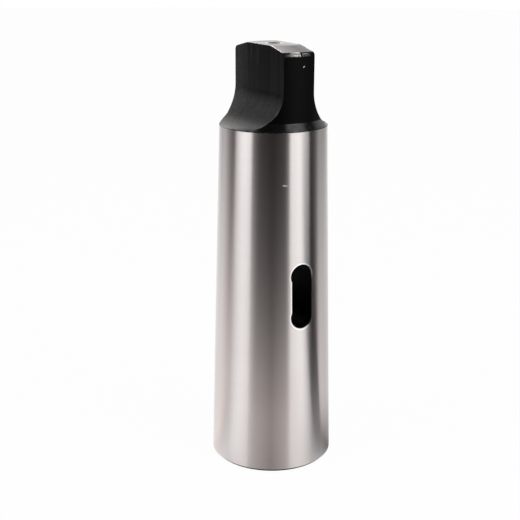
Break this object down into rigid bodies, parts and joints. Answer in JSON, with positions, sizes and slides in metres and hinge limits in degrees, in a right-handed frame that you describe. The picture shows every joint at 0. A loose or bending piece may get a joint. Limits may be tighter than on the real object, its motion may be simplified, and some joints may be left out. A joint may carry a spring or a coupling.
{
  "type": "morse taper sleeve",
  "caption": "Drill and machine sleeve that fits a small Morse taper shank into a large Morse taper spindle, with a tang and a drift slot.",
  "frame": {"origin": "middle of the flat mouth face that the sleeve stands on, on the common axis of both tapers", "axes": "+Z along the axis towards the tang; the drift slot goes through along Y; the tang's two flats face +X and -X"},
  "size_m": [0.0636, 0.0636, 0.218],
  "materials": {
    "ground_steel": "circumferentially ground outside, blackened tang and slot"
  },
  "bodies": {
    "root": {"sleeve": "ground_steel"}
  },
  "joints": []
}
